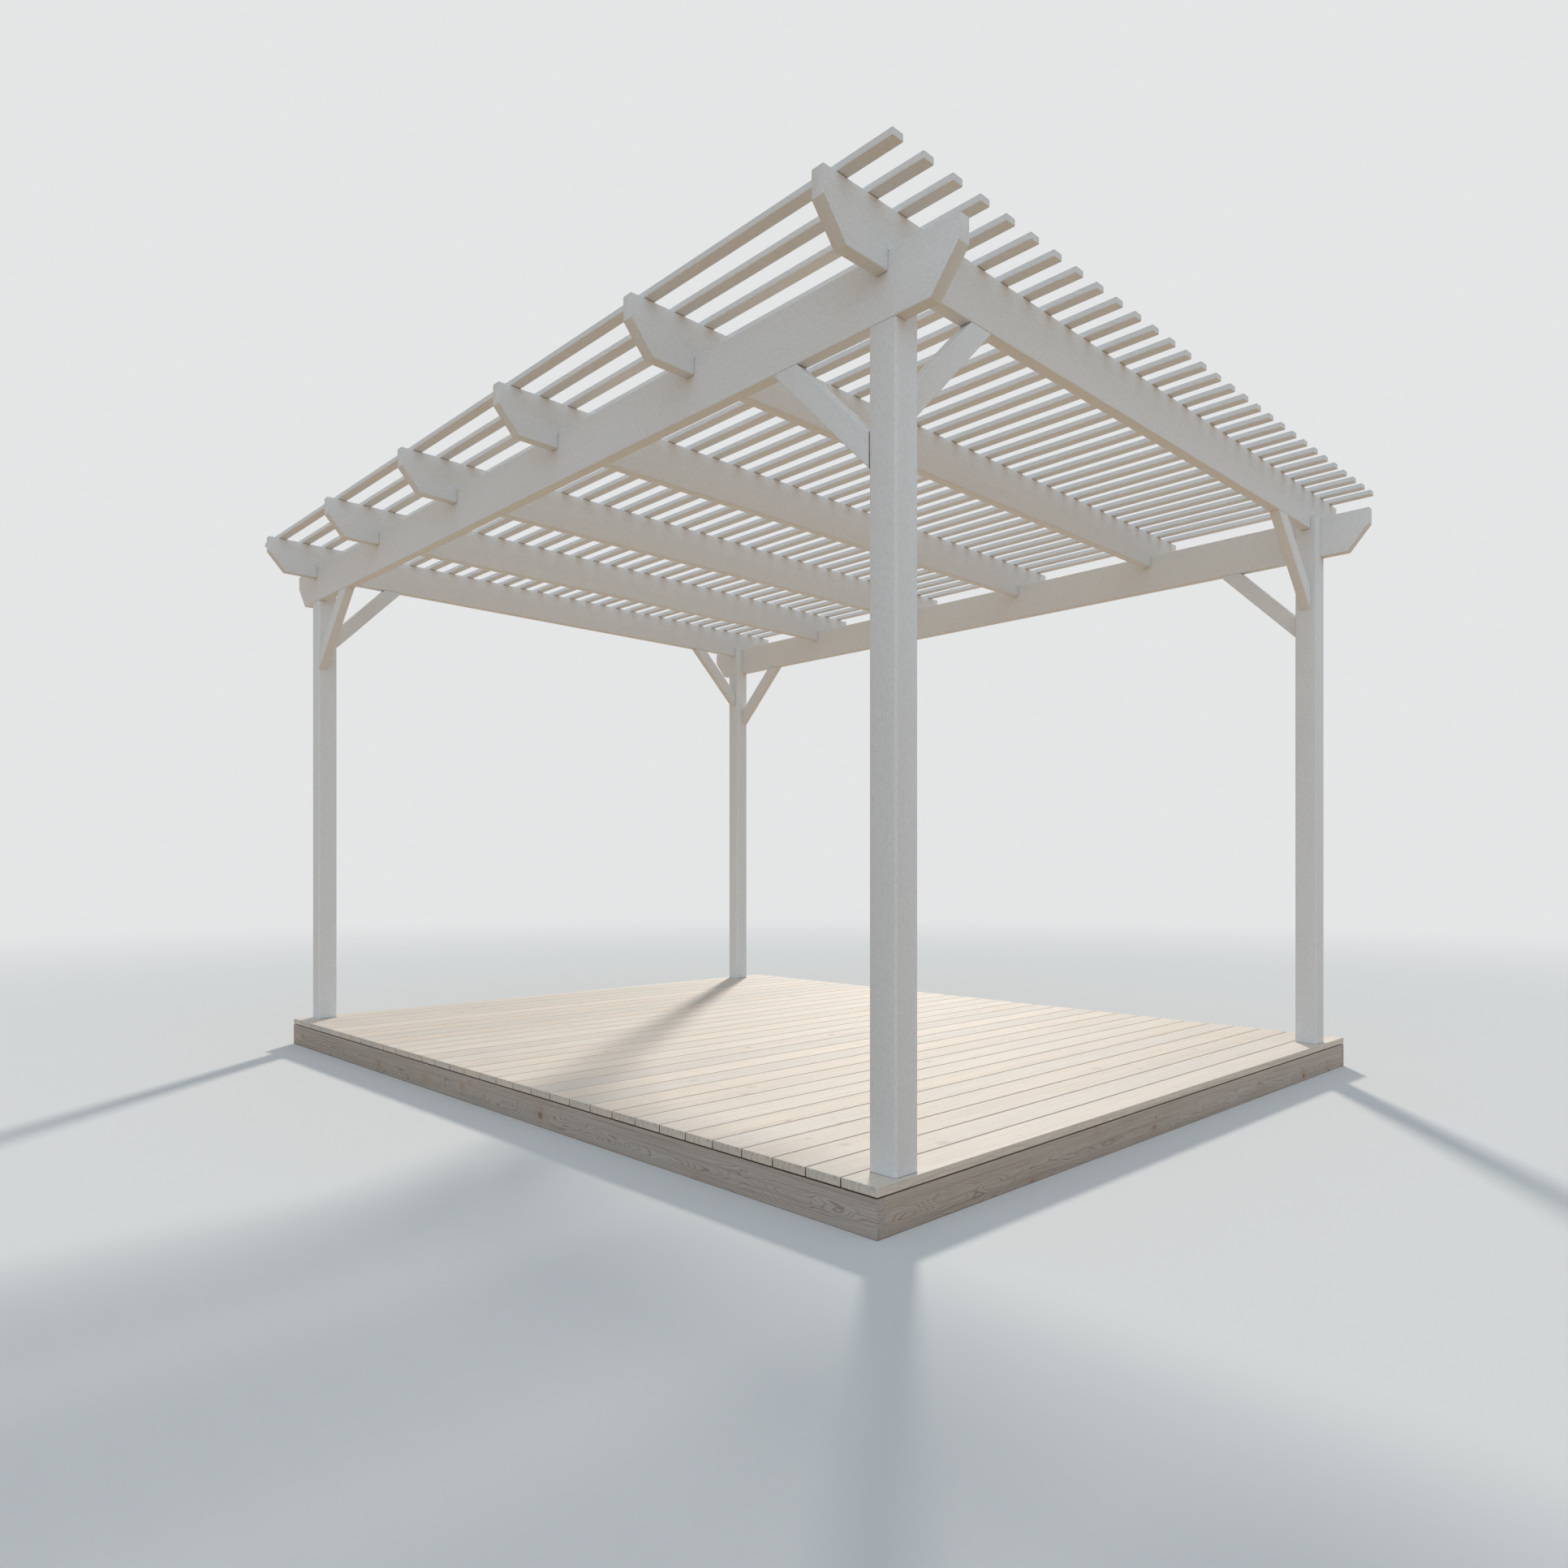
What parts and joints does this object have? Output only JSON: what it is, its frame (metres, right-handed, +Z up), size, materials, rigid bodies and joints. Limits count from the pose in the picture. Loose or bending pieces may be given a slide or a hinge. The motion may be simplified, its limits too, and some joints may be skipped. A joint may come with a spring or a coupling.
{
  "type": "garden pergola on a timber deck",
  "caption": "Free-standing painted timber pergola with knee braces, notched rafters and a slatted roof, on a low timber deck.",
  "frame": {"origin": "on the ground, midway between the four posts", "axes": "+X along the two beams, +Y along the rafters from front to back, +Z up"},
  "size_m": [4.778, 3.779, 2.861],
  "materials": {
    "painted_timber": "satin white paint on planed timber",
    "deck_timber": "bare planed softwood",
    "frame_timber": "sawn softwood"
  },
  "bodies": {
    "root": {"back_beam": "painted_timber", "back_fascia": "deck_timber", "back_left_beam_brace": "painted_timber", "back_left_post": "painted_timber", "back_left_rafter_brace": "painted_timber", "back_right_beam_brace": "painted_timber", "back_right_post": "painted_timber", "back_right_rafter_brace": "painted_timber", "deck_floor": "deck_timber", "deck_joists": "frame_timber", "front_beam": "painted_timber", "front_fascia": "deck_timber", "front_left_beam_brace": "painted_timber", "front_left_post": "painted_timber", "front_left_rafter_brace": "painted_timber", "front_right_beam_brace": "painted_timber", "front_right_post": "painted_timber", "front_right_rafter_brace": "painted_timber", "left_fascia": "deck_timber", "rafter_1": "painted_timber", "rafter_2": "painted_timber", "rafter_3": "painted_timber", "rafter_4": "painted_timber", "rafter_5": "painted_timber", "rafter_6": "painted_timber", "right_fascia": "deck_timber", "roof_slats": "painted_timber"}
  },
  "joints": []
}
